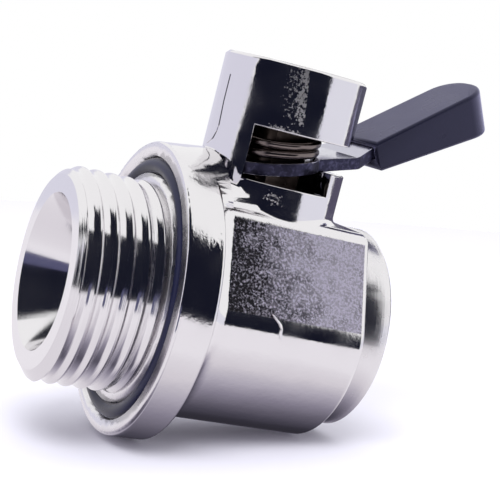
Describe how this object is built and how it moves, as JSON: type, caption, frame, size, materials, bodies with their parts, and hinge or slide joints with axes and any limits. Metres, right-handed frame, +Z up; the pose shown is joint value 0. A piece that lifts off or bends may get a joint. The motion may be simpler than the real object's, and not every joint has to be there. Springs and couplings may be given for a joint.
{
  "type": "quick drain valve",
  "caption": "Quick drain valve: threaded inlet spigot with flange and O-ring, floating ball turned by a sprung lever in a slotted tower, threaded outlet collar.",
  "frame": {"origin": "centre of the flange's sealing face, on the axis of the inlet thread", "axes": "+X with the flow, from the inlet to the outlet; +Z up the stem's tower; +Y completes the right-handed frame"},
  "size_m": [0.0617, 0.0396, 0.058],
  "materials": {
    "plated_brass": "polished plating",
    "turned_brass": "brushed plating",
    "rubber": "smooth",
    "seat_polymer": "machined",
    "stem_steel": "turned",
    "lever_steel": "pressed and plated",
    "spring_steel": "drawn wire",
    "grip_plastic": "dipped"
  },
  "bodies": {
    "casting": {"valve_body": "plated_brass", "flange_o_ring": "rubber", "outlet_retainer": "turned_brass", "retainer_o_ring": "rubber", "inlet_seat": "seat_polymer", "outlet_seat": "seat_polymer"},
    "stem_group": {"ball": "plated_brass", "stem": "stem_steel", "thrust_washer": "seat_polymer", "lower_stem_o_ring": "rubber", "upper_stem_o_ring": "rubber", "spring_washer": "spring_steel", "retaining_clip": "spring_steel", "lever_spring": "spring_steel"},
    "lever_group": {"lever": "lever_steel", "lever_grip": "grip_plastic"}
  },
  "joints": [
    {"name": "stem_turn", "type": "hinge", "parent": "casting", "child": "stem_group", "pos_m": [0.01622, 0, 0.018], "axis": [0, 0, 1], "range_deg": [-108, 0]},
    {"name": "lever_lift", "type": "hinge", "parent": "stem_group", "child": "lever_group", "pos_m": [0.00952, -0.00118, 0.01815], "axis": [0.1736, -0.9848, 0], "range_deg": [0, 2.4], "stiffness_Nm_per_rad": 0.09, "springref_deg": -57.3, "deforming": ["lever_spring"]}
  ]
}
